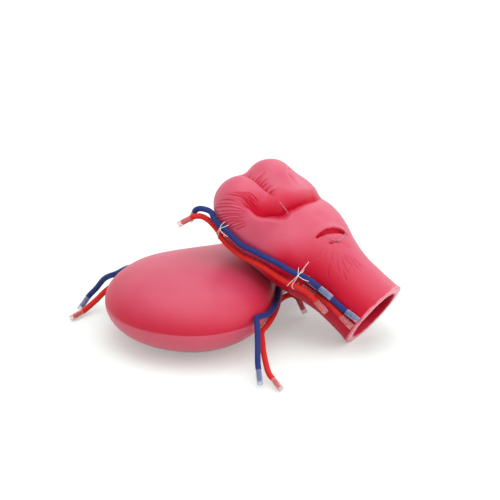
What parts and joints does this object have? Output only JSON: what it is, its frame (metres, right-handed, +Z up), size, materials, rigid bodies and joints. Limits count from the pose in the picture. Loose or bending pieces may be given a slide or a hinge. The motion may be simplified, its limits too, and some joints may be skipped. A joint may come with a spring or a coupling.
{
  "type": "foam uterus model",
  "caption": "Hollow foam uterus training models, plain and compressed by a brace suture, with open necks, an incision and vessel cords in clear sleeves.",
  "frame": {"origin": "middle of the plain model's rest face on the table, under its widest place", "axes": "+Z up, +Y toward the plain model's open neck, +X toward the side where the sutured model stands"},
  "size_m": [0.2963, 0.2436, 0.1625],
  "materials": {
    "foam": "soft integral-skin foam, satin",
    "artery_cord": "braided cord",
    "vein_cord": "braided cord",
    "clear_sleeve": "clear soft tube",
    "thread": "waxed thread"
  },
  "bodies": {
    "plain_uterus": {"plain_left_ovarian_artery": "artery_cord", "plain_left_ovarian_artery_first_sleeve": "clear_sleeve", "plain_left_ovarian_artery_second_sleeve": "clear_sleeve", "plain_left_ovarian_vein": "vein_cord", "plain_left_ovarian_vein_first_sleeve": "clear_sleeve", "plain_left_ovarian_vein_second_sleeve": "clear_sleeve", "plain_left_tie": "thread", "plain_left_uterine_artery": "artery_cord", "plain_left_uterine_artery_first_sleeve": "clear_sleeve", "plain_left_uterine_artery_second_sleeve": "clear_sleeve", "plain_left_uterine_vein": "vein_cord", "plain_left_uterine_vein_first_sleeve": "clear_sleeve", "plain_left_uterine_vein_second_sleeve": "clear_sleeve", "plain_right_ovarian_artery": "artery_cord", "plain_right_ovarian_artery_first_sleeve": "clear_sleeve", "plain_right_ovarian_artery_second_sleeve": "clear_sleeve", "plain_right_ovarian_vein": "vein_cord", "plain_right_ovarian_vein_first_sleeve": "clear_sleeve", "plain_right_ovarian_vein_second_sleeve": "clear_sleeve", "plain_right_tie": "thread", "plain_right_uterine_artery": "artery_cord", "plain_right_uterine_artery_first_sleeve": "clear_sleeve", "plain_right_uterine_artery_second_sleeve": "clear_sleeve", "plain_right_uterine_vein": "vein_cord", "plain_right_uterine_vein_first_sleeve": "clear_sleeve", "plain_right_uterine_vein_second_sleeve": "clear_sleeve", "plain_uterus_body": "foam"},
    "sutured_uterus": {"compression_suture": "thread", "sutured_far_lower_tie": "thread", "sutured_far_ovarian_artery": "artery_cord", "sutured_far_ovarian_artery_first_sleeve": "clear_sleeve", "sutured_far_ovarian_artery_second_sleeve": "clear_sleeve", "sutured_far_ovarian_vein": "vein_cord", "sutured_far_ovarian_vein_first_sleeve": "clear_sleeve", "sutured_far_ovarian_vein_second_sleeve": "clear_sleeve", "sutured_far_upper_tie": "thread", "sutured_far_uterine_artery": "artery_cord", "sutured_far_uterine_artery_first_sleeve": "clear_sleeve", "sutured_far_uterine_artery_second_sleeve": "clear_sleeve", "sutured_far_uterine_vein": "vein_cord", "sutured_far_uterine_vein_first_sleeve": "clear_sleeve", "sutured_far_uterine_vein_second_sleeve": "clear_sleeve", "sutured_near_lower_tie": "thread", "sutured_near_ovarian_artery": "artery_cord", "sutured_near_ovarian_artery_first_sleeve": "clear_sleeve", "sutured_near_ovarian_artery_second_sleeve": "clear_sleeve", "sutured_near_ovarian_vein": "vein_cord", "sutured_near_ovarian_vein_first_sleeve": "clear_sleeve", "sutured_near_ovarian_vein_second_sleeve": "clear_sleeve", "sutured_near_upper_tie": "thread", "sutured_near_uterine_artery": "artery_cord", "sutured_near_uterine_artery_first_sleeve": "clear_sleeve", "sutured_near_uterine_artery_second_sleeve": "clear_sleeve", "sutured_near_uterine_vein": "vein_cord", "sutured_near_uterine_vein_first_sleeve": "clear_sleeve", "sutured_near_uterine_vein_second_sleeve": "clear_sleeve", "sutured_uterus_body": "foam"}
  },
  "joints": [
    {"name": "sutured_lift", "type": "slide", "parent": "plain_uterus", "child": "sutured_uterus", "axis": [0, 0, 1], "range_m": [0, 0.12]}
  ]
}
